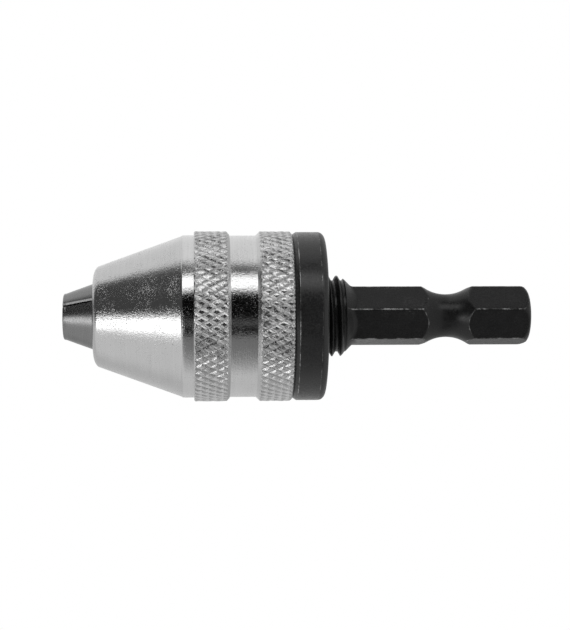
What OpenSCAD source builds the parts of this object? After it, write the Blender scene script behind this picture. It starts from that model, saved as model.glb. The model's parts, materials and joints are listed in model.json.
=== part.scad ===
// Keyless drill chuck on a hexagonal driver shank.
// The outer sleeve screws along the body; its tapered bore closes three jaws on the drill.
// Lengths are measured along the axis from the free end of the shank towards the nose.

/* [Shank] */
// Width across the flats of the hexagonal shank
hex_flats = 6.35; // [6.3:0.05:6.4]
// Diameter that the corners of the hexagon are turned down to
hex_corner_d = 7.3; // [7.0:0.02:7.32]
// Length of the hexagonal shank
hex_length = 21.2; // [21:0.05:22]
// Turn of the hexagon about the axis, in degrees
hex_turn = -18; // [-30:1:30]
// Distance from the free end of the shank to the middle of the ball groove
groove_at = 9.8; // [9.5:0.05:10.5]
// Diameter at the bottom of the ball groove
groove_d = 5.05; // [4.8:0.05:5.3]
// Radius of the arc that the ball groove is turned with
groove_arc_r = 4.6; // [4.4:0.1:5]

/* [Thread stub] */
// Outer diameter of the thread that joins the shank to the body
stub_d = 9.525; // [9.5:0.005:9.55]
// Pitch diameter of that thread, where its hidden part meets the socket
stub_pitch_d = 8.84; // [8.7:0.02:8.9]
// Length of thread that stays in view behind the body
stub_bare = 1.95; // [1.5:0.05:2.2]
// Length of thread inside the body
stub_depth = 10.25; // [9:0.25:10.5]

/* [Rear collar] */
// Outer diameter of the rear collar
collar_d = 19.79; // [19.5:0.01:19.85]
// Length of the rear collar
collar_length = 3.8; // [3.7:0.05:4]
// Radius of the collar's rear outer edge
collar_edge_r = 0.8; // [0.4:0.1:1]
// Diameter of the body where the collar is pressed on
collar_seat_d = 16.5; // [16.3:0.1:16.8]

/* [Sleeve] */
// Outer diameter of the two knurled bands
knurl_d = 19.97; // [19.9:0.01:20.1]
// Diameter of the plain groove between the knurled bands
waist_d = 18.97; // [18.6:0.01:19.2]
// Diameter of the plain shoulder in front of the knurled bands
shoulder_d = 19.05; // [18.9:0.01:19.2]
// Length of the rear knurled band
rear_band_length = 4.3; // [4:0.05:4.4]
// Length of the plain groove between the knurled bands
waist_length = 3; // [2.9:0.05:3.1]
// Length of the front knurled band
front_band_length = 4.1; // [4:0.05:4.2]
// Length of the tapered nose
cone_length = 10.2; // [10.1:0.05:10.3]
// Angle between the axis and the tapered surfaces, in degrees
taper = 20; // [20:0.1:20.2]
// Gap between the collar and the sleeve when the chuck is shut
shut_gap = 0.04; // [0.03:0.01:0.06]
// Radius of the outer edge of the nose
nose_edge_r = 0.9; // [0.5:0.1:1]

/* [Jaws] */
// Length of the jaws that stands out of the nose
jaw_reach = 3.52; // [3.2:0.02:3.6]
// Diameter of the closed jaws where they leave the nose
jaw_nose_d = 7.76; // [7.7:0.01:7.8]
// Width of the slit between two jaws when the chuck is shut
slit = 0.16; // [0.1:0.02:0.2]
// Diameter that the gripping faces leave when the chuck is shut
grip_d = 0.4; // [0.36:0.02:0.6]
// Length of the gripping faces
grip_length = 8; // [6:0.5:8.5]
// Distance that each jaw moves outwards from shut to fully open
jaw_travel = 1.55; // [1.4:0.01:1.56]

/* [Thrust bearing] */
// Number of balls in the thrust bearing
balls = 12; // [8:1:12]
// Diameter of each ball
ball_d = 1.588; // [1.5:0.004:1.6]
// Diameter of the circle that the balls run on
ball_circle_d = 10.7; // [10.4:0.1:10.8]
// Thickness of the two race washers
race_t = 0.58; // [0.5:0.02:0.6]

/* [Hidden] */
$fn = 96;
JAWS = 3;

// Clearances
cut = 1;             // how far a cutting shape runs past what it cuts
run = 0.07;          // radial clearance of the screwed sleeve
jaw_clear = 0.05;    // radial clearance between jaws and tapered bore
slide = 0.05;        // side clearance of a jaw in its slot
rest_play = 0.015;   // play at each side of the balls
socket_clear = 0.02; // radial clearance of the thread stub in its socket
slot_clear = 0.1;    // what a slot has left past the outer end of a tongue's travel
rise = tan(taper);   // radius gained per unit of length on a taper

// Lengths of hidden features and of the shoulder in front of the knurled bands
neck_length = 5.6;
screw_length = 4.5;
pilot_length = 2.1;
shoulder_length = 1;
shoulder_fall = 0.5;
nut_length = 8.2;
mouth_length = 0.4;
ring_groove_length = 0.8;
carrier_t = 1.4;
pocket_inset = 3.6;
socket_gap = 0.5;

// Stations along the axis
shank_cone_end = hex_length + (stub_d - hex_corner_d) / 2;
body_rear = shank_cone_end + stub_bare;
body_flange_end = body_rear + collar_length;
sleeve_rear = body_flange_end + shut_gap;
rear_band_end = sleeve_rear + rear_band_length;
front_band_start = rear_band_end + waist_length;
front_band_end = front_band_start + front_band_length;
shoulder_end = front_band_end + shoulder_length;
cone_start = shoulder_end + shoulder_fall;
sleeve_front = cone_start + cone_length;
thread_start = body_flange_end + neck_length;
body_front = thread_start + screw_length;
balls_at = body_front + race_t + rest_play + ball_d / 2;
front_race_at = balls_at + ball_d / 2 + rest_play;
carrier_at = front_race_at + race_t;
jaw_rear = carrier_at + carrier_t;
jaw_tip = sleeve_front + jaw_reach;
grip_end = jaw_tip - grip_length;

// Shank end
shank_face_r = 2.3;
shank_edge_r = 1.4;

// Chuck body
neck_r = 7.2;
screw_r = 7.65;
screw_chamfer = 0.3;
pilot_r = 3.8;
drill_hole_r = 2;
collar_chamfer_r = 0.33;
collar_chamfer_s = 0.5;

// Sleeve outside
rear_band_chamfers = [0.25, 0.6];
front_band_chamfers = [0.35, 0.13];
cone_start_r = 9.4;

// Sleeve inside
mouth_r = 7.9;
ring_groove_r = 8.05;
ring_groove = [sleeve_rear + mouth_length, sleeve_rear + mouth_length + ring_groove_length];
nut_end = ring_groove[1] + nut_length;
chamber_r = 8;
bore_r_at_nose = jaw_nose_d / 2 + jaw_clear;
chamber_end = sleeve_front - (chamber_r - bore_r_at_nose) / rise;

// Jaws
tail_r = 6.3;
tip_chamfer = 0.25;
relief_r = 1;
lead_in = 0.3;
tongue_w = 2.4;
tongue_depth = 1.05;
tongue_r = [2.2, 5];
slot_end_r = tongue_r[1] + jaw_travel + slot_clear;
slot_start_r = tongue_r[0] - 3 * slot_clear;
carrier_r = 7;
wedge_size = 20;
pocket_at = jaw_rear + pocket_inset;
pocket_circle_r = 4.2;
pocket_r = 0.8;
pocket_depth = 1.6;

// Springs and rings
spring_r = 0.7;
spring_hole_r = 0.45;
spring_play = 0.03;
wire_r = 0.35;
wire_circle_r = 7.65;
wire_angle = 335;
cage_t = 0.6;
cage_r = [3.9, 6.6];
ball_play = 0.035;
race_r = [3.9, 7];

// Puts a shape that stands on the local Z axis along the chuck's axis, nose towards -X
module lay_down() {
    rotate([0, -90, 0])
    children();
}

// Turns a half section: x is the radius and y the station along the axis
module turned() {
    lay_down()
    rotate_extrude()
    children();
}

// Half section of a cylinder or a cone between two stations
module stretch(s0, r0, s1, r1) {
    polygon([[0, s0], [r0, s0], [r1, s1], [0, s1]]);
}

// Half section of a flat ring
module washer_section(r, s0, s1) {
    translate([r[0], s0])
    square([r[1] - r[0], s1 - s0]);
}

// Half section of a cylinder with a chamfer at each end
module band_section(s0, s1, r, chamfers) {
    stretch(s0, r - chamfers[0], s0 + chamfers[0], r);
    stretch(s0 + chamfers[0], r, s1 - chamfers[1], r);
    stretch(s1 - chamfers[1], r, s1, r - chamfers[1]);
}

// Hexagonal driver shank and thread stub in one piece
module hex_adapter() {
    color("#2b2b2d")
    difference() {
        union() {
            intersection() {
                lay_down()
                rotate([0, 0, hex_turn])
                cylinder(h = hex_length + cut, d = hex_flats / cos(30), $fn = 6);
                turned()
                shank_section();
            }
            turned()
            stub_section();
        }
        turned()
        translate([groove_d / 2 + groove_arc_r, groove_at])
        circle(r = groove_arc_r);
    }
}

// Limits the hexagon to its corner diameter and to the rounded free end
module shank_section() {
    translate([0, shank_edge_r])
    square([hex_corner_d / 2, hex_length + cut - shank_edge_r]);
    square([shank_face_r, shank_edge_r]);
    intersection() {
        translate([shank_face_r, shank_edge_r])
        circle(r = shank_edge_r);
        square([hex_corner_d / 2, shank_edge_r]);
    }
}

module stub_section() {
    stub_end = body_rear + stub_depth;
    lead = (stub_d - stub_pitch_d) / 2;
    stretch(hex_length, hex_corner_d / 2, shank_cone_end, stub_d / 2);
    stretch(shank_cone_end, stub_d / 2, body_rear - lead, stub_d / 2);
    stretch(body_rear - lead, stub_d / 2, body_rear, stub_pitch_d / 2);
    stretch(body_rear, stub_pitch_d / 2, stub_end - lead, stub_pitch_d / 2);
    stretch(stub_end - lead, stub_pitch_d / 2, stub_end, stub_pitch_d / 2 - lead);
}

// Body: collar seat, neck, screw for the sleeve, pilot for the bearing
module chuck_body() {
    socket_r = stub_pitch_d / 2 + socket_clear;
    socket_end = body_rear + stub_depth + socket_gap;
    pilot_end = body_front + pilot_length;
    color("#6f7174")
    turned()
    difference() {
        union() {
            stretch(body_rear, collar_seat_d / 2, body_flange_end, collar_seat_d / 2);
            stretch(body_flange_end, neck_r, thread_start, neck_r);
            band_section(thread_start, body_front, screw_r, [screw_chamfer, screw_chamfer]);
            stretch(body_front, pilot_r, pilot_end, pilot_r);
        }
        stretch(body_rear - cut, socket_r, socket_end, socket_r);
        stretch(socket_end, drill_hole_r, pilot_end + cut, drill_hole_r);
    }
}

// Black collar pressed on the rear of the body
module rear_collar() {
    r = collar_d / 2;
    color("#1f1f21")
    turned()
    difference() {
        union() {
            stretch(body_rear, r - collar_edge_r, body_rear + collar_edge_r, r - collar_edge_r);
            stretch(body_rear + collar_edge_r, r, body_flange_end - collar_chamfer_s, r);
            stretch(body_flange_end - collar_chamfer_s, r, body_flange_end, r - collar_chamfer_r);
            translate([r - collar_edge_r, body_rear + collar_edge_r])
            circle(r = collar_edge_r);
        }
        stretch(body_rear - cut, collar_seat_d / 2, body_flange_end + cut, collar_seat_d / 2);
    }
}

module race(s0) {
    color("#b8babd")
    turned()
    washer_section(race_r, s0, s0 + race_t);
}

module rear_race() {
    race(body_front);
}

module front_race() {
    race(front_race_at);
}

// Brass plate that keeps the balls apart
module ball_cage() {
    color("#b08d4a")
    difference() {
        turned()
        washer_section(cage_r, balls_at - cage_t / 2, balls_at + cage_t / 2);
        for (i = [1 : balls])
            at_ball(i)
            cylinder(h = cage_t + 2 * cut, r = ball_d / 2 + ball_play, center = true);
    }
}

module at_ball(i) {
    lay_down()
    rotate([0, 0, i * 360 / balls])
    translate([ball_circle_d / 2, 0, balls_at])
    children();
}

module ball(i) {
    color("#d0d3d6")
    at_ball(i)
    sphere(d = ball_d);
}

// Slotted plate that turns with the jaws and guides their tails
module jaw_carrier() {
    color("#8b8e92")
    difference() {
        turned()
        washer_section([drill_hole_r, carrier_r], carrier_at, jaw_rear);
        for (i = [1 : JAWS])
            at_jaw(i)
            translate([slot_start_r, -tongue_w / 2 - slide, jaw_rear - tongue_depth - slide])
            cube([slot_end_r - slot_start_r, tongue_w + 2 * slide, tongue_depth + cut]);
    }
}

module at_jaw(i) {
    lay_down()
    rotate([0, 0, (i - 1) * 360 / JAWS])
    children();
}

// One third of a cone, with a tongue at its tail and a pocket for a spring in each flank
module jaw(i) {
    color("#77797c")
    at_jaw(i)
    difference() {
        union() {
            intersection() {
                rotate_extrude()
                jaw_section();
                wedge();
            }
            translate([tongue_r[0], -tongue_w / 2, jaw_rear - tongue_depth])
            cube([tongue_r[1] - tongue_r[0], tongue_w, tongue_depth + cut]);
        }
        rotate_extrude()
        jaw_bore_section();
        for (side = [-1, 1])
            rotate([0, 0, side * 180 / JAWS])
            translate([pocket_circle_r, 0, pocket_at])
            rotate([side * 90, 0, 0])
            cylinder(h = slit / 2 + pocket_depth, r = pocket_r);
    }
}

module jaw_section() {
    r_nose = jaw_nose_d / 2;
    tail_end = sleeve_front - (tail_r - r_nose) / rise;
    r_tip = r_nose - jaw_reach * rise;
    stretch(jaw_rear, tail_r, tail_end, tail_r);
    stretch(tail_end, tail_r, jaw_tip - tip_chamfer, r_tip + tip_chamfer * rise);
    stretch(jaw_tip - tip_chamfer, r_tip + tip_chamfer * rise, jaw_tip, r_tip - tip_chamfer);
}

module jaw_bore_section() {
    grip_r = grip_d / 2;
    stretch(jaw_rear - tongue_depth - cut, relief_r, grip_end, relief_r);
    stretch(grip_end, grip_r, jaw_tip, grip_r);
    stretch(jaw_tip - lead_in, grip_r, jaw_tip, grip_r + lead_in);
    stretch(jaw_tip, grip_r + lead_in, jaw_tip + cut, grip_r + lead_in);
}

// The 120 degree sector that one jaw fills, less half a slit on each side
module wedge() {
    half = 180 / JAWS;
    apex = slit / 2 / sin(half);
    linear_extrude(height = jaw_tip + cut)
    polygon([
        [apex, 0],
        [apex + wedge_size * cos(half), wedge_size * sin(half)],
        [apex + wedge_size * cos(half), -wedge_size * sin(half)]
    ]);
}

// Envelope of the small coil spring that spreads two jaws
module jaw_spring(i) {
    spring_length = slit + 2 * (pocket_depth - spring_play);
    color("#c9ccd0")
    lay_down()
    rotate([0, 0, (i - 0.5) * 360 / JAWS])
    translate([pocket_circle_r, 0, pocket_at])
    rotate([90, 0, 0])
    difference() {
        cylinder(h = spring_length, r = spring_r, center = true);
        cylinder(h = spring_length + cut, r = spring_hole_r, center = true);
    }
}

// Knurled sleeve with the tapered bore
module sleeve() {
    color("#c4c6c9")
    turned()
    difference() {
        sleeve_section();
        sleeve_bore_section();
    }
}

module sleeve_section() {
    edge_s = sleeve_front - nose_edge_r;
    edge_r = cone_start_r - (edge_s - cone_start) * rise - nose_edge_r / cos(taper);
    touch_s = edge_s + nose_edge_r * sin(taper);
    touch_r = edge_r + nose_edge_r * cos(taper);
    band_section(sleeve_rear, rear_band_end, knurl_d / 2, rear_band_chamfers);
    stretch(rear_band_end, waist_d / 2, front_band_start, waist_d / 2);
    band_section(front_band_start, front_band_end, knurl_d / 2, front_band_chamfers);
    stretch(front_band_end, shoulder_d / 2, shoulder_end, shoulder_d / 2);
    stretch(shoulder_end, shoulder_d / 2, cone_start, cone_start_r);
    stretch(cone_start, cone_start_r, touch_s, touch_r);
    stretch(touch_s, edge_r, sleeve_front, edge_r);
    translate([edge_r, edge_s])
    circle(r = nose_edge_r);
}

module sleeve_bore_section() {
    nose_lead = 0.15;
    stretch(sleeve_rear - cut, mouth_r, ring_groove[0], mouth_r);
    stretch(ring_groove[0], ring_groove_r, ring_groove[1], ring_groove_r);
    stretch(ring_groove[1], screw_r + run, nut_end, screw_r + run);
    stretch(nut_end, chamber_r, chamber_end, chamber_r);
    stretch(chamber_end, chamber_r, sleeve_front, bore_r_at_nose);
    stretch(sleeve_front - nose_lead, bore_r_at_nose, sleeve_front, bore_r_at_nose + nose_lead);
    stretch(sleeve_front, bore_r_at_nose + nose_lead, sleeve_front + cut, bore_r_at_nose + nose_lead);
}

// Wire snap ring that stops the sleeve at the rear of the body's screw
module retaining_ring() {
    color("#9a9da1")
    lay_down()
    translate([0, 0, (ring_groove[0] + ring_groove[1]) / 2])
    rotate_extrude(angle = wire_angle)
    translate([wire_circle_r, 0])
    circle(r = wire_r);
}

hex_adapter();
chuck_body();
rear_collar();
rear_race();
ball_cage();
for (i = [1 : balls]) ball(i);
front_race();
jaw_carrier();
for (i = [1 : JAWS]) jaw(i);
for (i = [1 : JAWS]) jaw_spring(i);
sleeve();
retaining_ring();
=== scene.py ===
# Keyless drill chuck on a hexagonal driver shank: its looks, light and camera round the CAD frame.
# Lengths in this file are millimetres, which put() and MM turn into the metres of the frame.
# A station is a place along the chuck's axis: 0 at the free end of the shank, growing to the nose,
# so X = -station. An angle round the axis is 0 at the top (+Z) and 90 degrees at +Y, the far side.
import json
import math

import bmesh
import bpy
import numpy as np
from mathutils import Matrix, Vector


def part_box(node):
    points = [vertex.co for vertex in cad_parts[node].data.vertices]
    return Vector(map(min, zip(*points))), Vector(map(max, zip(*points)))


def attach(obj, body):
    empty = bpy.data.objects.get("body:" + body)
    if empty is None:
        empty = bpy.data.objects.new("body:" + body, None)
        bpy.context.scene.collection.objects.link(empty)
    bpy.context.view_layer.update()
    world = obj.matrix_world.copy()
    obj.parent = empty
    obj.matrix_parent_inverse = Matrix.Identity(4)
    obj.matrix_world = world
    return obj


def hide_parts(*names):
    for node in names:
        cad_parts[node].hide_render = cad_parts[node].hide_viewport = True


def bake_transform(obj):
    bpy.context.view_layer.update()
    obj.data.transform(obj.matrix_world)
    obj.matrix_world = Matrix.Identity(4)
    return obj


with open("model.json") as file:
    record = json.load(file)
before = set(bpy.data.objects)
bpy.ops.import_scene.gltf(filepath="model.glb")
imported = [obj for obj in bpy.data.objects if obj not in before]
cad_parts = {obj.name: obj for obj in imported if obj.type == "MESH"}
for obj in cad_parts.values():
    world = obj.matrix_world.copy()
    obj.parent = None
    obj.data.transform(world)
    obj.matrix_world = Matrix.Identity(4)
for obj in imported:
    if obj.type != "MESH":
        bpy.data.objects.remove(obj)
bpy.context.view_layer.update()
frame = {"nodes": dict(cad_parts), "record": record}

MM = 0.001
TURN = 2 * math.pi


# ---------------------------------------------------------------- sizes

def ends(node):
    """Stations of the rear and the front end of a CAD node."""
    low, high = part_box(node)
    return -high.x / MM, -low.x / MM


def outer_radius(node):
    """Largest distance of a CAD node from the axis."""
    return max(math.hypot(v.co.y, v.co.z) for v in frame["nodes"][node].data.vertices) / MM


# Shank and thread stub
HEX_FLATS = 6.35
HEX_CORNER_R = 3.65
HEX_LENGTH = 21.2
HEX_TURN = math.radians(-18)
GROOVE_AT = 9.8
GROOVE_BOTTOM_R = 2.525
GROOVE_ARC_R = 4.6
SHANK_FACE_R = 2.3
SHANK_EDGE_R = 1.4
SHANK_RINGS = (0.5, 1.0)   # rings of the mesh on the flat ends
HEX_EDGE = 0.09           # how wide the hexagon's edges are blunted
CONE_BLEND = 0.35
STUB_R = 4.7625
STUB_PITCH = 25.4 / 24
STUB_THREAD_DEPTH = 0.56
STUB_CREST_AT = 22.77    # station of a crest at the top
STUB_HIDDEN_R = 4.42     # where the stub fills its socket
STUB_INSIDE = 0.3        # how far the open thread goes on inside the body
STUB_CHAMFER = 0.35
CREST_BLEND = 0.05
CREST_WEAR = (0.12, 0.45)  # how deep the wear on the crests goes, and how strong it is

# Collar and body
SEAT_R = 8.25
COLLAR_EDGE_R = 0.8
COLLAR_CHAMFER = (0.5, 0.33)
COLLAR_SOFT_EDGE = 0.12
COLLAR_WEAR = 1.02
SOCKET_R = 4.44
SOCKET_MOUTH = 4.95
SOCKET_MOUTH_AT = (0.4, 0.9)
SOCKET_SPARE = 0.5
SCREW_LENGTH = 4.5
SCREW_R = 7.65
SCREW_PITCH = 1.0
SCREW_THREAD_DEPTH = 0.54
SCREW_CHAMFER = 0.45
NECK_R = 7.2
PILOT_R = 3.8
PILOT_CHAMFER = 0.2
DRILL_HOLE_R = 2.0
DRILL_HOLE_CHAMFER = 0.1

# Sleeve
TAPER = math.tan(math.radians(20))
REAR_BAND = 4.3
WAIST = 3.0
FRONT_BAND = 4.1
WAIST_R = 9.485
SHOULDER_R = 9.525
SHOULDER_LENGTH = 1.0
SHOULDER_FALL = 0.5
CONE_START_R = 9.4
NOSE_EDGE_R = (0.6, 1.6)  # the nose's edge is a tight arc up to this turn, and then a wide one
NOSE_EDGE_TURN = math.radians(50)
NOSE_BORE_R = 3.93
CHAMBER_R = 8.0
NUT_R = 7.72
NUT_LENGTH = 9.4
NUT_CHAMFER = 0.28
MOUTH_R = 7.9
RING_GROOVE_R = 8.05
RING_GROOVE_AT = (0.4, 1.2)
MOUTH_CHAMFER = 0.1
REAR_BAND_CHAMFER = 0.25
REAR_BAND_SLOPE = 0.6
FRONT_BAND_CHAMFERS = (0.35, 0.13)

# Knurl: two families of V grooves that cross
KNURL_TEETH = 66
KNURL_PITCH = 1.68
KNURL_STEPS = 8          # mesh cells along one tooth, so that groove edges run through its corners
KNURL_FRONT = (0.25, 0.14, 0.01)  # half a groove's width as a share of a tooth, its depth, tops' crown
KNURL_REAR = (0.25, 0.18, 0.02)
KNURL_TOP_AT = 36.15     # station of a row of diamonds
KNURL_UNEVEN = 0.02      # how far the diamonds' heights differ
KNURL_TILT = 0.05        # spread of their tilts

# Jaws
JAW_NOSE_R = 3.88
JAW_TAIL_R = 6.3
SLIT = 0.16
GRIP_R = 0.2
GRIP_LENGTH = 8.0
RELIEF_R = 1.0
LEAD_IN = 0.3
FLANK_CHAMFER = 0.17
TIP_EDGE_R = 0.3
TAIL_CHAMFER = 0.2
TONGUE_W = 2.4
TONGUE_R = (2.2, 5.0)
TONGUE_DEPTH = 1.05
TONGUE_CHAMFER = 0.12
POCKET_INSET = 3.6
POCKET_CIRCLE_R = 4.2
POCKET_R = 0.8
POCKET_DEPTH = 1.6

# Springs
SPRING_R = 0.575
SPRING_WIRE_R = 0.12
SPRING_TURNS = 7
SPRING_GAP = 0.03

collar_rear, collar_front = ends("rear_collar")
sleeve_rear, sleeve_front = ends("sleeve")
jaw_tail, jaw_tip = ends("jaw_1")
stub_end = ends("hex_adapter")[1]
body_rear, body_end = ends("chuck_body")
body_front = ends("rear_race")[0]
knurl_r = outer_radius("sleeve")
collar_r = outer_radius("rear_collar")
jaw_rear = jaw_tail + TONGUE_DEPTH
pocket_at = jaw_rear + POCKET_INSET
rear_band_end = sleeve_rear + REAR_BAND
front_band_start = rear_band_end + WAIST
front_band_end = front_band_start + FRONT_BAND
shoulder_end = front_band_end + SHOULDER_LENGTH
cone_start = shoulder_end + SHOULDER_FALL


# ---------------------------------------------------------------- meshes

def put(name, vertices, faces, body, sharp=None, wear=None):
    """Makes a piece from points in millimetres and lets it ride on a CAD body."""
    points = np.asarray(vertices, float)
    corners = [points[[face[k] for face in faces]] for k in range(3)]
    volume = np.einsum("ij,ij->i", corners[0], np.cross(corners[1], corners[2])).sum()
    if volume < 0:
        faces = [tuple(reversed(face)) for face in faces]
    mesh = bpy.data.meshes.new(name)
    mesh.from_pydata((points * MM).tolist(), [], faces)
    if wear is not None:
        mesh.attributes.new("wear", "FLOAT", "POINT").data.foreach_set("value", wear)
    piece = bpy.data.objects.new(name, mesh)
    bpy.context.scene.collection.objects.link(piece)
    shade(piece, sharp)
    if body:
        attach(piece, body)
    return piece


def shade(piece, sharp):
    """Shades a piece smoothly, apart from edges that bend more than this many degrees."""
    piece.data.shade_smooth()
    if sharp:
        piece.data.set_sharp_from_angle(angle=math.radians(sharp))


def around(s, r, angle):
    """Points at these stations, radii and angles round the axis."""
    return np.stack([-s, r * np.sin(angle), r * np.cos(angle)], axis=-1)


def line(start, end, step):
    """Points from start up to, and without, end, about a step apart."""
    start, end = np.array(start, float), np.array(end, float)
    count = max(1, round(float(np.linalg.norm(end - start)) / step))
    return [tuple(start + (end - start) * k / count) for k in range(count)]


def rounded(corners, steps=5, guard=0.05):
    """Outline through corners (station, radius, fillet), with each fillet as an arc. Long straight
    stretches get a point close to each end, so that they shade flat."""
    places = [np.array(corner[:2], float) for corner in corners]
    points = []
    for i, here in enumerate(places):
        fillet = corners[i][2]
        before = places[i - 1] - here
        after = places[(i + 1) % len(places)] - here
        before /= np.linalg.norm(before)
        after /= np.linalg.norm(after)
        if not fillet:
            points.append([here])
            continue
        half = math.acos(float(np.clip(before @ after, -1, 1))) / 2
        centre = here + (before + after) / np.linalg.norm(before + after) * fillet / math.sin(half)
        first = here + before * fillet / math.tan(half) - centre
        last = here + after * fillet / math.tan(half) - centre
        sweep = math.pi - 2 * half
        points.append([
            centre + (first * math.sin(sweep * (1 - k / steps)) + last * math.sin(sweep * k / steps))
            / math.sin(sweep)
            for k in range(steps + 1)
        ])
    outline = []
    for i, arc in enumerate(points):
        outline += arc
        gap = points[(i + 1) % len(points)][0] - arc[-1]
        length = float(np.linalg.norm(gap))
        if length > 4 * guard:
            outline.append(arc[-1] + gap * guard / length)
            outline.append(arc[-1] + gap * (1 - guard / length))
    return [tuple(point) for point in outline]


def turned(name, outline, body, columns=128, carve=None, closed=True, sharp=35):
    """Turns an outline of (station, radius) about the axis. carve(station, radius, angle) may cut the
    turned surface deeper, and gives the new radius and a mark at each point: the wear on black parts, and on
    the sleeve the knurl's groove bottoms, which get painted shade. An outline that is not closed starts and
    ends on the axis."""
    outline = np.array(outline, float)
    angle = TURN * np.arange(columns) / columns if isinstance(columns, int) else columns
    angle = angle[None, :]
    s = outline[:, :1] + 0 * angle
    r = outline[:, 1:] + 0 * angle
    wear = np.zeros_like(r)
    if carve:
        r, wear = carve(s, r, angle + 0 * s)
    rows, count = r.shape
    vertices = around(s, r, angle).reshape(-1, 3)
    index = np.arange(rows * count).reshape(rows, count)
    near, far = (index, np.roll(index, -1, 0)) if closed else (index[:-1], index[1:])
    a, b, c, d = near, np.roll(near, -1, 1), np.roll(far, -1, 1), far
    if carve:
        height = r.ravel()
        cost_ac = abs(height[a] - height[c]) + (height[a] + height[c]) / 2
        cost_bd = abs(height[b] - height[d]) + (height[b] + height[d]) / 2
        first = np.where((cost_ac <= cost_bd)[..., None], np.stack([a, b, c], -1), np.stack([a, b, d], -1))
        second = np.where((cost_ac <= cost_bd)[..., None], np.stack([a, c, d], -1), np.stack([b, c, d], -1))
        faces = np.concatenate([first.reshape(-1, 3), second.reshape(-1, 3)]).tolist()
    else:
        faces = np.stack([a, b, c, d], -1).reshape(-1, 4).tolist()
    wear = wear.ravel()
    if not closed:
        poles = [(-outline[0][0], 0, 0), (-outline[-1][0], 0, 0)]
        vertices = np.concatenate([vertices, poles])
        wear = np.concatenate([wear, [0, 0]])
        for ring, pole, order in ((index[0], rows * count, 1), (index[-1], rows * count + 1, -1)):
            fan = np.stack([np.roll(ring, -1), ring], -1)[:, ::order]
            faces += [(int(p), int(q), pole) for p, q in fan]
    return put(name, vertices, faces, body, sharp, wear)


def blunt_min(a, b, size):
    """The lesser of two surfaces with their edge rounded, and how close each point is to that edge."""
    share = np.clip(0.5 + (b - a) / (2 * size), 0, 1)
    return b + (a - b) * share - size * share * (1 - share), 4 * share * (1 - share)


def thread(s, angle, crest_r, depth, pitch, crest_at):
    """Radius of a right-handed V thread with a flat crest and a flat root."""
    turn = (s - crest_at) / pitch - angle / TURN
    from_crest = 2 * abs(turn - np.round(turn))
    return crest_r - depth * np.clip((from_crest - 0.125) / 0.625, 0, 1)


# ---------------------------------------------------------------- pieces

def knurl(s, r, angle):
    """Cuts the diamond knurl into the sleeve's two bands, and gives a mark of its tops and groove bottoms,
    which the nickel plate turns into roughness and into painted shade in the grooves.
    """
    rng = np.random.default_rng(7)
    tops = rng.uniform(0, KNURL_UNEVEN, (KNURL_TEETH, KNURL_TEETH))
    tilts = rng.normal(0, KNURL_TILT, (2, KNURL_TEETH, KNURL_TEETH))
    a = angle * KNURL_TEETH / TURN + (s - KNURL_TOP_AT) / KNURL_PITCH
    b = angle * KNURL_TEETH / TURN - (s - KNURL_TOP_AT) / KNURL_PITCH
    half, depth, crown = (np.where(s < rear_band_end, *pair) for pair in zip(KNURL_REAR, KNURL_FRONT))
    from_a, from_b = abs(a - np.round(a)), abs(b - np.round(b))
    groove = np.clip(1 - np.minimum(from_a, from_b) / half, 0, 1)
    from_top = ((0.5 - from_a) ** 2 + (0.5 - from_b) ** 2) / (0.5 - half) ** 2
    which = (np.floor(a).astype(int) % KNURL_TEETH, np.floor(b).astype(int) % KNURL_TEETH)
    lean = tilts[0][which] * (a % 1 - 0.5) + tilts[1][which] * (b % 1 - 0.5)
    diamond = tops[which] + lean
    wobble = 1 + 0.1 * np.sin(angle * 5 + s) * np.sin(angle * 3 - s * 0.7)
    drop = depth * wobble * groove + (1 - groove) * (diamond + crown * np.minimum(from_top, 2))
    in_band = (s < rear_band_end) | ((s > front_band_start) & (s < front_band_end + 0.001))
    cut = np.where(in_band, knurl_r - drop, 2 * knurl_r)
    # Mark for the nickel plate: 0.4 on the knurl's tops, rising to 1 at the groove bottoms. It makes the tops
    # rougher and adds grit, and it also paints shade into the groove bottoms.
    rough = np.where(in_band & (r > cut - 0.02) & (r > NUT_R + 1), 0.4 + 0.6 * groove, 0)
    return np.minimum(r, cut), rough


def band_rows(start, end, chamfers):
    """Outline of one knurled band, with its rows on the knurl's mesh cells."""
    fine = KNURL_PITCH / KNURL_STEPS / 4
    rear, front = start + chamfers[0], end - chamfers[1]
    first = math.ceil((start - KNURL_TOP_AT) / fine)
    last = math.floor((end - KNURL_TOP_AT) / fine)
    stations = [start]
    for k in range(first, last + 1):
        s = KNURL_TOP_AT + k * fine
        if s - stations[-1] > fine / 2 and (k % 4 == 0 or s < rear + fine or s > front - fine):
            stations.append(s)
    stations[-1] = end
    return [(s, knurl_r - max(0, rear - s, s - front)) for s in stations]


def nose_edge():
    """Outline of the sleeve's rounded front edge, from the cone to the flat front."""
    taper = math.atan(TAPER)
    tight, wide = NOSE_EDGE_R
    wide_s = sleeve_front - wide
    tight_s = wide_s + (wide - tight) * math.sin(NOSE_EDGE_TURN)
    cone_end = tight_s + tight * math.sin(taper)
    tight_r = CONE_START_R - (cone_end - cone_start) * TAPER - tight * math.cos(taper)
    wide_r = tight_r - (wide - tight) * math.cos(NOSE_EDGE_TURN)
    edge = [(tight_s + tight * math.sin(turn), tight_r + tight * math.cos(turn))
            for turn in np.linspace(taper, NOSE_EDGE_TURN, 7)]
    edge += [(wide_s + wide * math.sin(turn), wide_r + wide * math.cos(turn))
             for turn in np.linspace(NOSE_EDGE_TURN, math.pi / 2, 9)[1:]]
    return edge


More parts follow.
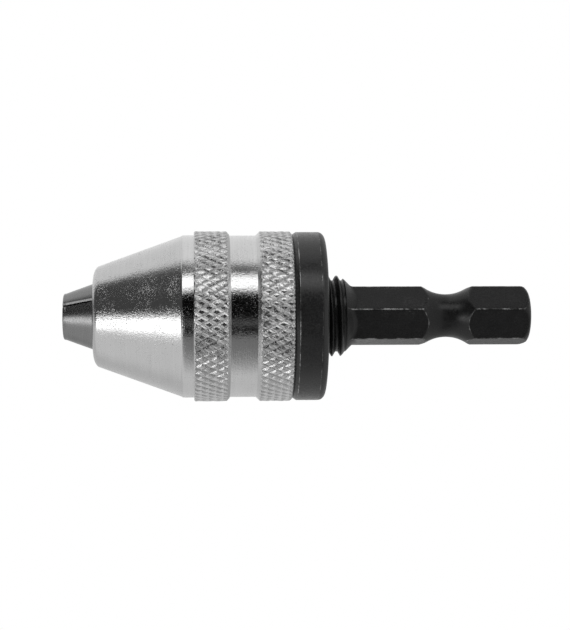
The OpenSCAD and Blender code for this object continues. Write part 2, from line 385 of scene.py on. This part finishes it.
def sleeve():
    chamber_end = sleeve_front - (CHAMBER_R - NOSE_BORE_R) / TAPER
    nut_end = sleeve_rear + NUT_LENGTH
    groove_rear, groove_front = (sleeve_rear + at for at in RING_GROOVE_AT)
    waist_start = rear_band_end - REAR_BAND_SLOPE + (knurl_r - WAIST_R)
    outline = band_rows(sleeve_rear, waist_start, (REAR_BAND_CHAMFER, knurl_r - WAIST_R))
    outline += [(waist_start + 0.05, WAIST_R)]
    outline += line((waist_start + 0.2, WAIST_R), (front_band_start - 0.04, WAIST_R), 0.9)
    outline += [(front_band_start - 0.04, WAIST_R), (front_band_start - 0.01, WAIST_R + 0.02)]
    outline += band_rows(front_band_start, front_band_end, FRONT_BAND_CHAMFERS)
    outline += [(front_band_end + 0.01, SHOULDER_R + 0.02), (front_band_end + 0.04, SHOULDER_R)]
    outline += [(shoulder_end, SHOULDER_R), (cone_start - 0.2, SHOULDER_R - 0.015)]
    outline += [(cone_start - 0.15, SHOULDER_R - 0.025), (cone_start, CONE_START_R)]
    edge = nose_edge()
    outline += line((cone_start + 0.08, CONE_START_R - 0.08 * TAPER), edge[0], 1.6) + edge
    outline += [(sleeve_front, edge[-1][1] - 0.05), (sleeve_front, NOSE_BORE_R + 0.25),
                (sleeve_front, NOSE_BORE_R + 0.15), (sleeve_front - 0.05, NOSE_BORE_R + 0.06),
                (sleeve_front - 0.15, NOSE_BORE_R)]
    outline += line((sleeve_front - 0.2, NOSE_BORE_R + 0.2 * TAPER), (chamber_end, CHAMBER_R), 2)
    outline += [(chamber_end, CHAMBER_R), (nut_end, CHAMBER_R), (nut_end - NUT_CHAMFER, NUT_R),
                (groove_front, NUT_R), (groove_front, RING_GROOVE_R),
                (groove_rear, RING_GROOVE_R), (groove_rear, MOUTH_R),
                (sleeve_rear + MOUTH_CHAMFER, MOUTH_R), (sleeve_rear, MOUTH_R + MOUTH_CHAMFER)]
    piece = turned("sleeve_shell", outline, "sleeve", KNURL_TEETH * KNURL_STEPS, knurl, sharp=12)
    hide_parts("sleeve")
    return piece


def collar():
    chamfer_at = collar_front - COLLAR_CHAMFER[0]
    outline = rounded([
        (collar_rear, SEAT_R, COLLAR_SOFT_EDGE), (collar_rear, collar_r, COLLAR_EDGE_R),
        (chamfer_at, collar_r, COLLAR_SOFT_EDGE), (collar_front, collar_r - COLLAR_CHAMFER[1], 0.05),
        (collar_front, SEAT_R, 0.1),
    ], steps=8)

    def rim(s, r, angle):
        """Cuts nothing, and marks the two edges where the black is rubbed thin."""
        edge = (abs(s - chamfer_at) < 0.06) | (abs(s - collar_rear - COLLAR_EDGE_R) < 0.03)
        return r, np.where(edge & (r > collar_r - 0.08), COLLAR_WEAR, 0)

    piece = turned("collar_ring", outline, "body", 192, rim)
    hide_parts("rear_collar")
    return piece


def chuck_body():
    screw_start = body_front - SCREW_LENGTH
    socket_end = stub_end + SOCKET_SPARE
    outline = rounded([
        (body_rear, SOCKET_MOUTH, 0.06), (body_rear, SEAT_R - 0.01, 0.15),
        (collar_front, SEAT_R - 0.01, 0.1), (collar_front, NECK_R, 0.15),
        (screw_start - 0.02, NECK_R, 0),
    ])[:-1]
    corners = [(screw_start, NECK_R), (screw_start + SCREW_CHAMFER, SCREW_R),
               (body_front - SCREW_CHAMFER, SCREW_R), (body_front, NECK_R)]
    for here, following in zip(corners, corners[1:]):
        outline += line(here, following, SCREW_PITCH / 10)
    mouth_rear, mouth_front = (body_rear + at for at in SOCKET_MOUTH_AT)
    outline += [(body_front, NECK_R), (body_front, PILOT_R), (body_end - PILOT_CHAMFER, PILOT_R),
                (body_end, PILOT_R - PILOT_CHAMFER), (body_end, DRILL_HOLE_R + DRILL_HOLE_CHAMFER),
                (body_end - DRILL_HOLE_CHAMFER, DRILL_HOLE_R), (socket_end, DRILL_HOLE_R),
                (socket_end, SOCKET_R), (mouth_front, SOCKET_R), (mouth_rear, SOCKET_MOUTH)]

    def screw(s, r, angle):
        cut = thread(s, angle, SCREW_R, SCREW_THREAD_DEPTH, SCREW_PITCH, body_front)
        on_screw = (s > screw_start) & (s < body_front) & (r > PILOT_R + 1)
        return np.where(on_screw, np.minimum(r, cut), r), 0 * r

    piece = turned("body_core", outline, "body", 144, screw)
    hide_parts("chuck_body")
    return piece


def hex_adapter():
    groove_half = math.sqrt(GROOVE_ARC_R ** 2 - (GROOVE_ARC_R - HEX_CORNER_R + GROOVE_BOTTOM_R) ** 2)
    edge_steps = 14
    outline = [(0, SHANK_RINGS[0]), (0, SHANK_RINGS[1]), (0, SHANK_FACE_R - 0.05)]
    for k in range(edge_steps + 1):
        turn = math.pi / 2 * k / edge_steps
        outline.append((SHANK_EDGE_R * (1 - math.cos(turn)), SHANK_FACE_R + SHANK_EDGE_R * math.sin(turn)))
    plain_r = HEX_CORNER_R + 0.05
    bare_end = body_rear + STUB_INSIDE
    rim = groove_half + 0.2
    stretches = [(SHANK_EDGE_R + 0.2, 0.45), (GROOVE_AT - rim, 0.08), (GROOVE_AT - 2, 0.2),
                 (GROOVE_AT + 2, 0.08), (GROOVE_AT + rim, 0.6), (HEX_LENGTH - 0.8, STUB_PITCH / 20),
                 (bare_end, 0)]
    for (start, step), (end, _) in zip(stretches, stretches[1:]):
        outline += line((start, plain_r), (end, plain_r), step)
    outline += [(bare_end, STUB_R), (bare_end + STUB_CHAMFER, STUB_HIDDEN_R)]
    outline += [(stub_end - STUB_CHAMFER, STUB_HIDDEN_R), (stub_end, STUB_HIDDEN_R - STUB_CHAMFER)]
    outline += [(stub_end, SHANK_RINGS[1])]

    def shape(s, r, angle):
        off_flat = (angle - HEX_TURN) % (math.pi / 3) - math.pi / 6
        flats = HEX_FLATS / 2 / np.cos(off_flat)
        inside = np.clip(GROOVE_ARC_R ** 2 - (s - GROOVE_AT) ** 2, 0, None)
        groove = GROOVE_BOTTOM_R + GROOVE_ARC_R - np.sqrt(inside)
        groove = np.where(inside > 0, groove, 2 * HEX_CORNER_R)
        lathe_cut = np.minimum(np.minimum(groove, HEX_CORNER_R), np.where(s < HEX_LENGTH, r, HEX_CORNER_R))
        shank, edge = blunt_min(flats, lathe_cut, HEX_EDGE)
        shank = np.where(r < SHANK_FACE_R, r, shank)
        cone = HEX_CORNER_R + s - HEX_LENGTH
        flared = -blunt_min(-shank, -cone, CONE_BLEND)[0]
        helix = thread(s, angle, STUB_R, STUB_THREAD_DEPTH, STUB_PITCH, STUB_CREST_AT)
        bare = blunt_min(flared, helix, CREST_BLEND)[0]
        hidden = s > bare_end - 0.001
        on_thread = (s > HEX_LENGTH + 0.6) & ~hidden
        crest_wear = np.clip(1 - (STUB_R - helix) / CREST_WEAR[0], 0, 1) * CREST_WEAR[1]
        wear = np.where(on_thread, crest_wear, np.where(hidden | (r < SHANK_FACE_R), 0, edge))
        return np.where(hidden, np.minimum(r, helix + 9 * (s > bare_end + 0.1)), bare), wear

    steps = np.radians([0, 0.3, 0.7, 1.2, 2, 3, 4.5, 6.5, 9, 12, 15, 18, 21, 24, 27, 30,
                        33, 36, 39, 42, 45, 48, 51, 53.5, 55.5, 57, 58, 58.8, 59.3, 59.7])
    columns = np.concatenate([HEX_TURN + k * math.pi / 3 + steps for k in range(6)])
    piece = turned("hex_shank", outline, "body", columns, shape, closed=False, sharp=50)
    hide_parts("hex_adapter")
    return piece


def cut_or_join(piece, tools, operation):
    """Cuts these closed solids out of a piece, or joins them to it, and removes them."""
    for tool in tools:
        modifier = piece.modifiers.new("solid", "BOOLEAN")
        modifier.operation = operation
        modifier.solver = "EXACT"
        modifier.object = tool
    bpy.context.view_layer.update()
    result = bpy.data.meshes.new_from_object(piece.evaluated_get(bpy.context.evaluated_depsgraph_get()))
    piece.modifiers.clear()
    piece.data = result
    for tool in tools:
        bpy.data.objects.remove(tool)


def solid(name, build, place):
    """A closed helper solid made by a bmesh call, in millimetres, for cut_or_join()."""
    shape = bmesh.new()
    build(shape)
    shape.transform(Matrix.Scale(MM, 4) @ place)
    mesh = bpy.data.meshes.new(name)
    shape.to_mesh(mesh)
    shape.free()
    helper = bpy.data.objects.new(name, mesh)
    bpy.context.scene.collection.objects.link(helper)
    return helper


def chuck_frame(angle):
    """Matrix from a jaw's own axes (across, out, along the stations) to the frame, in millimetres."""
    out = Vector((0, math.sin(angle), math.cos(angle)))
    across = Vector((0, math.cos(angle), -math.sin(angle)))
    along = Vector((-1, 0, 0))
    return Matrix((across, out, along)).transposed().to_4x4()


def jaw(number):
    angle = (number - 1) * TURN / 3
    tail_end = sleeve_front - (JAW_TAIL_R - JAW_NOSE_R) / TAPER
    grip_end = jaw_tip - GRIP_LENGTH

    def cone_r(s):
        return JAW_NOSE_R + (sleeve_front - s) * TAPER

    tip_start = jaw_tip - TIP_EDGE_R
    rows = [(jaw_rear, JAW_TAIL_R - TAIL_CHAMFER, RELIEF_R), (jaw_rear + TAIL_CHAMFER, JAW_TAIL_R, RELIEF_R),
            (tail_end, JAW_TAIL_R, RELIEF_R), (grip_end, cone_r(grip_end), RELIEF_R),
            (grip_end + 0.001, cone_r(grip_end), GRIP_R)]
    rows += [(s, cone_r(s), GRIP_R) for s in np.linspace(grip_end + 1, tip_start - 0.2, 8)]
    rows += [(jaw_tip - LEAD_IN - 0.01, cone_r(jaw_tip - LEAD_IN - 0.01), GRIP_R)]
    turn_start = math.atan(TAPER)
    centre_r = cone_r(tip_start) - TIP_EDGE_R / math.cos(turn_start)
    centre_r += TIP_EDGE_R * TAPER * math.sin(turn_start)
    for k in range(7):
        turn = turn_start + (math.pi / 2 - turn_start) * k / 6
        s = tip_start + TIP_EDGE_R * math.sin(turn)
        rows.append((s, centre_r + TIP_EDGE_R * math.cos(turn), GRIP_R + max(0, s - jaw_tip + LEAD_IN)))

    third = TURN / 6
    half_slit = SLIT / 2
    steps = 28
    vertices = []
    for s, outer, inner in rows:
        chamfer = min(FLANK_CHAMFER, (outer - inner) / 3)
        arc_end = third - math.asin(half_slit / outer) - chamfer / outer
        flank_end = third - math.asin(half_slit / (outer - chamfer))
        inner_end = third - math.asin(half_slit / inner)
        outside = [(outer - chamfer, -flank_end)]
        outside += [(outer, t) for t in np.linspace(-arc_end, arc_end, steps - 1)]
        outside += [(outer - chamfer, flank_end)]
        inside = [(inner, t) for t in np.linspace(inner_end, -inner_end, steps + 1)]
        vertices += [around(s, radius, angle + t) for radius, t in outside + inside]
    loop = 2 * (steps + 1)
    faces = []
    for row in range(len(rows) - 1):
        for k in range(loop):
            here, following = row * loop + k, row * loop + (k + 1) % loop
            faces.append((here, following, following + loop, here + loop))
    for base in (0, (len(rows) - 1) * loop):
        cap = [(base + k, base + k + 1, base + loop - 2 - k, base + loop - 1 - k) for k in range(steps)]
        faces += cap if base else [tuple(reversed(face)) for face in cap]
    piece = put("jaw_%d_body" % number, vertices, faces, None)

    def pocket(shape):
        bmesh.ops.create_cone(shape, cap_ends=True, segments=40, radius1=POCKET_R, radius2=POCKET_R,
                              depth=2 * POCKET_DEPTH)

    def tongue(shape):
        bmesh.ops.create_cube(shape, size=1)
        bmesh.ops.scale(shape, verts=shape.verts,
                        vec=(TONGUE_W, TONGUE_R[1] - TONGUE_R[0], 2 * TONGUE_DEPTH))
        rear = [e for e in shape.edges if all(v.co.z < 0 for v in e.verts)]
        bmesh.ops.bevel(shape, geom=rear, offset=TONGUE_CHAMFER, segments=1, affect="EDGES")

    pockets = []
    for side in (-1, 1):
        facing = chuck_frame(angle + side * third)
        at = Matrix.Translation((0, POCKET_CIRCLE_R, pocket_at))
        pockets.append(solid("pocket", pocket, facing @ at @ Matrix.Rotation(TURN / 4, 4, "Y")))
    middle = Matrix.Translation((0, sum(TONGUE_R) / 2, jaw_rear))
    cut_or_join(piece, pockets, "DIFFERENCE")
    cut_or_join(piece, [solid("tongue", tongue, chuck_frame(angle) @ middle)], "UNION")
    shade(piece, 30)
    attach(piece, "jaw_%d" % number)
    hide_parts("jaw_%d" % number)
    return piece


def half_spring(number, side):
    """Half of the coil spring in one slit: the half whose end sits in the pocket of one jaw."""
    facing = chuck_frame((number - 0.5) * TURN / 3)
    length = SLIT / 2 + POCKET_DEPTH - SPRING_GAP - SPRING_WIRE_R
    sides, steps = 8, 28
    count = round(SPRING_TURNS / 2 * steps)
    vertices = []
    for k in range(count + 1):
        share = k / count
        turn = TURN * SPRING_TURNS / 2 * share
        centre = Vector((side * length * share, SPRING_R * math.cos(turn), SPRING_R * math.sin(turn) * side))
        out = Vector((0, math.cos(turn), math.sin(turn) * side))
        for j in range(sides):
            around_wire = TURN * j / sides
            offset = out * math.cos(around_wire) + Vector((1, 0, 0)) * math.sin(around_wire)
            local = centre + offset * SPRING_WIRE_R + Vector((0, POCKET_CIRCLE_R, pocket_at))
            vertices.append(facing @ local)
    faces = []
    for k in range(count):
        for j in range(sides):
            here, beside = k * sides + j, k * sides + (j + 1) % sides
            faces.append((here, beside, beside + sides, here + sides))
    faces.append(tuple(range(sides - 1, -1, -1)))
    faces.append(tuple(range(count * sides, (count + 1) * sides)))
    piece = put("spring_%d_%s" % (number, "b" if side > 0 else "a"), vertices, faces, None)
    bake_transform(piece)
    return piece


# ---------------------------------------------------------------- materials

class Signal:
    """A number in a node tree, so that sums of sockets read as sums."""

    def __init__(self, tree, socket):
        self.tree = tree
        self.socket = socket

    def math(self, operation, *others):
        node = self.tree.nodes.new("ShaderNodeMath")
        node.operation = operation
        for socket, value in zip(node.inputs, (self, *others)):
            feed(self.tree, socket, value)
        return Signal(self.tree, node.outputs[0])

    def __add__(self, other):
        return self.math("ADD", other)

    def __sub__(self, other):
        return self.math("SUBTRACT", other)

    def __mul__(self, other):
        return self.math("MULTIPLY", other)

    __radd__ = __add__
    __rmul__ = __mul__

    def fade(self, low, high, start=0.0, end=1.0):
        """Goes smoothly from start to end as the signal goes from low to high."""
        node = self.tree.nodes.new("ShaderNodeMapRange")
        node.interpolation_type = "SMOOTHSTEP"
        for name, value in zip(("Value", "From Min", "From Max", "To Min", "To Max"),
                               (self, low, high, start, end)):
            feed(self.tree, node.inputs[name], value)
        return Signal(self.tree, node.outputs[0])

    def toward(self, other, share):
        """Mixes this signal with another one."""
        return self + (other + self * -1 if isinstance(other, Signal) else self * -1 + other) * share


def feed(tree, socket, value):
    if isinstance(value, Signal):
        tree.links.new(value.socket, socket)
    else:
        socket.default_value = value


class Finish:
    """A material with a Principled shader and the patterns that all the metals share."""

    def __init__(self, name, colour, roughness, metallic=1.0):
        self.material = bpy.data.materials.new(name)
        self.material.use_nodes = True
        self.tree = self.material.node_tree
        self.shader = self.tree.nodes["Principled BSDF"]
        self.shader.inputs["Base Color"].default_value = (*colour, 1)
        self.shader.inputs["Roughness"].default_value = roughness
        self.shader.inputs["Metallic"].default_value = metallic
        self.normal = None
        coordinates = self.tree.nodes.new("ShaderNodeTexCoord")
        split = self.tree.nodes.new("ShaderNodeSeparateXYZ")
        scale = self.tree.nodes.new("ShaderNodeVectorMath")
        scale.operation = "SCALE"
        scale.inputs["Scale"].default_value = 1 / MM
        self.tree.links.new(coordinates.outputs["Object"], scale.inputs[0])
        self.tree.links.new(scale.outputs[0], split.inputs[0])
        self.x, self.y, self.z = (Signal(self.tree, output) for output in split.outputs)

    def radius(self):
        return (self.y * self.y + self.z * self.z).math("SQRT")

    def noise(self, x, y, z, detail=2.0):
        """Soft noise at a point whose three coordinates are signals."""
        join = self.tree.nodes.new("ShaderNodeCombineXYZ")
        for socket, value in zip(join.inputs, (x, y, z)):
            feed(self.tree, socket, value)
        node = self.tree.nodes.new("ShaderNodeTexNoise")
        node.inputs["Scale"].default_value = 1
        node.inputs["Detail"].default_value = detail
        self.tree.links.new(join.outputs[0], node.inputs["Vector"])
        return Signal(self.tree, node.outputs[0])

    def grain(self, size, detail=2.0):
        """Even noise with features of about this size in millimetres."""
        scale = 1 / size
        return self.noise(self.x * scale, self.y * scale, self.z * scale, detail)

    def rings(self, size, length):
        """Turning lines of this spacing and length in millimetres that run round the axis."""
        across = (self.x + self.radius() * 1.3) * (1 / size)
        return self.noise(across, self.y * (1 / length), self.z * (1 / length), 3.0)

    def bump(self, height, depth):
        """Adds relief with this depth in millimetres."""
        node = self.tree.nodes.new("ShaderNodeBump")
        node.inputs["Strength"].default_value = 1
        node.inputs["Distance"].default_value = depth * MM
        feed(self.tree, node.inputs["Height"], height)
        if self.normal:
            self.tree.links.new(self.normal, node.inputs["Normal"])
        self.normal = node.outputs[0]
        self.tree.links.new(self.normal, self.shader.inputs["Normal"])

    def grey(self, value, tint=(1, 1, 1)):
        """Base colour from a brightness signal."""
        join = self.tree.nodes.new("ShaderNodeCombineColor")
        for socket, part in zip(join.inputs, tint):
            feed(self.tree, socket, value * part)
        self.tree.links.new(join.outputs[0], self.shader.inputs["Base Color"])

    def rough(self, value):
        feed(self.tree, self.shader.inputs["Roughness"], value)

    def wear(self):
        """The mesh's own mark: worn edges on the black parts, and on the sleeve the knurl's groove bottoms,
        where the nickel plate gets painted shade.
        """
        node = self.tree.nodes.new("ShaderNodeAttribute")
        node.attribute_name = "wear"
        return Signal(self.tree, node.outputs["Fac"])


def nickel_plate():
    look = Finish("nickel_plate", (0.68, 0.68, 0.68), 0.17)
    groove = look.wear()
    cloud = look.grain(2.5, 3.0)
    coarse = look.grain(0.22, 2.0)
    fine = look.grain(0.07, 2.0)
    frost = look.grain(0.15, 1.0).fade(0.5, 0.66) * look.grain(1.8, 3.0).fade(0.4, 0.6, 0.2, 1.0)
    frost = frost * look.radius().fade(9.2, 9.45, 1.0, 0.55)
    grit = look.grain(0.11, 3.0)
    lines = look.rings(0.11, 4.0)
    streaks = look.rings(0.28, 9.0)
    pits = look.grain(0.22, 2.0).fade(0.7, 0.76, 1.0, 0.6)
    # Colour: random tone, turning lines and pits, times painted shade that darkens the knurl's groove bottoms
    # by up to 15 percent.
    look.grey((0.56 + cloud * 0.06 + streaks * 0.08 + lines * 0.08) * groove.fade(0.4, 1.0, 1.0, 0.85) * pits)
    look.rough(coarse.fade(0.3, 0.7, 0.08, 0.14) + frost * 0.3 + groove.fade(0.0, 0.4, 0.0, 0.05))
    look.bump(lines, 0.006)
    look.bump(coarse, 0.012)
    look.bump(fine, 0.008)
    look.bump(frost, 0.004)
    look.bump(grit * groove.fade(0.0, 0.4), 0.022)
    return look.material


def jaw_steel():
    look = Finish("jaw_steel", (0.34, 0.34, 0.34), 0.22)
    fine = look.grain(0.12, 3.0)
    lines = look.rings(0.12, 3.0)
    look.grey(0.2 + look.grain(1.5) * 0.06 + lines * 0.08)
    look.rough(fine.fade(0.3, 0.75, 0.22, 0.34))
    look.bump(lines, 0.006)
    look.bump(fine, 0.008)
    return look.material


def black_oxide(name, darkness, gloss):
    look = Finish(name, (0.02, 0.02, 0.02), 0.3, metallic=0.0)
    look.shader.inputs["IOR"].default_value = gloss
    edge = look.wear()
    fine = look.grain(0.16, 3.0)
    patches = look.grain(1.3, 4.0)
    rubbed = (edge + patches * 1.2 + look.grain(0.35) * 0.6).fade(1.72, 2.12)
    scuffs = look.noise(look.x * 0.9, look.y * 5.0, look.z * 5.0, 5.0)
    scuffed = (scuffs - 0.5).math("ABSOLUTE").fade(0.0, 0.006, 1.0, 0.0) * look.grain(3.0).fade(0.55, 0.68)
    bare = rubbed.math("MAXIMUM", scuffed * 0.45)
    dust = fine.fade(0.62, 0.78)
    look.grey((darkness + patches * 0.012 + dust * 0.03).toward(0.4, bare))
    feed(look.tree, look.shader.inputs["Metallic"], bare)
    look.rough(fine.fade(0.3, 0.75, 0.2, 0.33) + look.grain(0.4, 3.0).fade(0.42, 0.6, 0.0, 0.07))
    look.bump(look.rings(0.12, 6.0), 0.002)
    look.bump(look.grain(0.45, 3.0), 0.006)
    look.bump(fine, 0.004)
    return look.material


def bearing_steel():
    look = Finish("bearing_steel", (0.62, 0.62, 0.63), 0.08)
    fine = look.grain(0.2, 3.0)
    look.grey(0.58 + look.grain(1.2) * 0.08)
    look.rough(fine.fade(0.3, 0.7, 0.05, 0.13))
    look.bump(look.rings(0.1, 5.0), 0.0008)
    return look.material


def cage_brass():
    look = Finish("cage_brass", (0.62, 0.46, 0.2), 0.28)
    fine = look.grain(0.18, 3.0)
    look.grey(0.9 + look.grain(1.0, 3.0) * 0.2, (0.62, 0.45, 0.19))
    look.rough(fine.fade(0.3, 0.75, 0.22, 0.38))
    look.bump(fine, 0.003)
    return look.material


def spring_steel():
    look = Finish("spring_steel", (0.45, 0.45, 0.46), 0.25)
    fine = look.grain(0.09, 3.0)
    look.grey(0.4 + look.grain(0.5) * 0.1)
    look.rough(fine.fade(0.3, 0.75, 0.18, 0.34))
    look.bump(fine, 0.0015)
    return look.material


def coat(piece, material):
    piece.data.materials.clear()
    piece.data.materials.append(material)


def build():
    finishes = {
        "nickel_plate": nickel_plate(), "jaw_steel": jaw_steel(),
        "black_oxide": black_oxide("black_oxide", 0.008, 1.39),
        "bearing_steel": bearing_steel(), "cage_brass": cage_brass(), "spring_steel": spring_steel(),
    }
    made = {"nickel_plate": [sleeve()], "black_oxide": [collar(), chuck_body(), hex_adapter()],
            "jaw_steel": [jaw(k) for k in (1, 2, 3)]}
    springs = []
    for k in (1, 2, 3):
        halves = [half_spring(k, side) for side in (-1, 1)]
        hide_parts("jaw_spring_%d" % k)
        springs += halves
    made["spring_steel"] = springs
    for slot, pieces in made.items():
        for piece in pieces:
            coat(piece, finishes[slot])
    coat(made["black_oxide"][0], black_oxide("black_collar", 0.017, 1.5))
    kept = {row["node"]: row["material_slot"] for row in frame["record"]["subparts"]}
    for name, node in frame["nodes"].items():
        if not node.hide_render:
            node.data.materials.clear()
            node.data.materials.append(finishes[kept[name]])


# ---------------------------------------------------------------- studio

def studio_light():
    """Soft studio light: a white panel over the front, a white card at the left, a faint one under the
    camera, a room that is dark round the camera and lighter at its right, and grey walls above, behind
    and below. Directions are in the frame's axes."""
    world = bpy.data.worlds.new("studio")
    bpy.context.scene.world = world
    world.use_nodes = True
    tree = world.node_tree
    tree.nodes.clear()
    coordinates = tree.nodes.new("ShaderNodeTexCoord")
    split = tree.nodes.new("ShaderNodeSeparateXYZ")
    tree.links.new(coordinates.outputs["Generated"], split.inputs[0])
    x, y, z = (Signal(tree, output) for output in split.outputs)

    def panel(azimuth, elevation, half_width, half_height, soft):
        """1 inside a rectangle of directions, in degrees; azimuth 0 is the camera's side, + is right."""
        yaw, pitch = math.radians(azimuth), math.radians(elevation)
        middle = Vector((math.sin(yaw) * math.cos(pitch), -math.cos(yaw) * math.cos(pitch), math.sin(pitch)))
        right = Vector((math.cos(yaw), math.sin(yaw), 0))
        up = right.cross(middle) * -1
        parts = []
        for axis, half in ((right, half_width), (up, half_height)):
            along = x * axis.x + y * axis.y + z * axis.z
            inner, outer = math.sin(math.radians(half - soft)), math.sin(math.radians(half + soft))
            parts.append(along.math("ABSOLUTE").fade(inner, outer, 1.0, 0.0))
        ahead = (x * middle.x + y * middle.y + z * middle.z).fade(0.0, 0.1)
        return parts[0] * parts[1] * ahead

    abs_x = x.math("ABSOLUTE")
    walls = z.fade(-0.15, 0.15, 0.66, 0.88) * x.fade(-0.35, -0.05, 0.86, 1.0) * x.fade(0.07, 0.16, 1.0, 0.6)
    boards = x.fade(-0.85, -0.72, 1.0, 0.0) * z.fade(0.0, 0.05) * z.fade(0.6, 0.68, 1.0, 0.0)
    walls = walls.toward(0.1, boards)
    table = (y + x * -1.3).fade(-0.75, 0.15, 0.2, 0.7) + x.fade(0.3, 0.5, 0.0, 0.35)
    table_edge = y.fade(-0.8, -0.3, -0.46, -0.12)
    light = walls.toward(table, (z - table_edge).fade(-0.03, 0.03, 1.0, 0.0) * y.fade(0.0, 0.5, 1.0, 0.0))
    room = (y - abs_x * 0.39).fade(-0.27, -0.17, 1.0, 0.0) * (z - table_edge).fade(-0.03, 0.03)
    dim = z.fade(0.75, 0.97, 0.002, 0.16) + x.fade(-0.6, -0.2, 0.06, 0.0) + x.fade(0.3, 0.5, 0.0, 0.55)
    light = light.toward(dim, room)
    light = light.toward(0.2, panel(2, -9.2, 12, 2.2, 2.2))
    light = light.toward(1.7, panel(4, 48.6, 28, 11, 1.5))
    light = light.toward(2.5, panel(-38, -12.5, 16, 10.2, 6.5))

    seen = tree.nodes.new("ShaderNodeBackground")
    lit = tree.nodes.new("ShaderNodeBackground")
    feed(tree, lit.inputs["Strength"], light)
    rays = tree.nodes.new("ShaderNodeLightPath")
    choose = tree.nodes.new("ShaderNodeMixShader")
    output = tree.nodes.new("ShaderNodeOutputWorld")
    for node in (seen, lit):
        node.inputs["Color"].default_value = (1, 1, 1, 1)
    tree.links.new(rays.outputs["Is Camera Ray"], choose.inputs[0])
    tree.links.new(lit.outputs[0], choose.inputs[1])
    tree.links.new(seen.outputs[0], choose.inputs[2])
    tree.links.new(choose.outputs[0], output.inputs[0])


def floor():
    """A plain white floor just under the chuck. It gives no reflection, because the walls do."""
    size = 3000
    gap = 0.5
    level = -knurl_r - gap
    corners = [(-size, -size, level), (size, -size, level), (size, size, level), (-size, size, level)]
    mesh = bpy.data.meshes.new("floor")
    mesh.from_pydata((np.array(corners) * MM).tolist(), [], [(0, 1, 2, 3)])
    plane = bpy.data.objects.new("floor", mesh)
    bpy.context.scene.collection.objects.link(plane)
    material = bpy.data.materials.new("floor_white")
    material.use_nodes = True
    tree = material.node_tree
    tree.nodes.clear()
    glow = tree.nodes.new("ShaderNodeEmission")
    output = tree.nodes.new("ShaderNodeOutputMaterial")
    tree.links.new(glow.outputs[0], output.inputs[0])
    mesh.materials.append(material)
    plane.visible_glossy = False
    plane.visible_diffuse = False
    plane.visible_shadow = False


def camera():
    """Level with the chuck's axis, 200 mm away and abreast of the front knurled band, and turned a
    little towards the shank."""
    ahead = 2.29
    abreast = (front_band_start + front_band_end) / 2 + ahead
    distance = 200
    lift = 0.13
    yaw = math.radians(-3.13)
    roll = math.radians(-0.18)
    data = bpy.data.cameras.new("camera")
    data.sensor_width = 36
    data.lens = 97.14
    data.clip_start = 0.01
    data.clip_end = 20
    eye = bpy.data.objects.new("camera", data)
    level = Matrix.Rotation(yaw, 4, "Z") @ Matrix.Rotation(TURN / 4, 4, "X") @ Matrix.Rotation(roll, 4, "Z")
    eye.matrix_world = Matrix.Translation(Vector((-abreast, -distance, lift)) * MM) @ level
    bpy.context.scene.collection.objects.link(eye)
    bpy.context.scene.camera = eye
    bpy.context.scene.view_settings.view_transform = "Standard"


camera()
studio_light()
floor()
build()
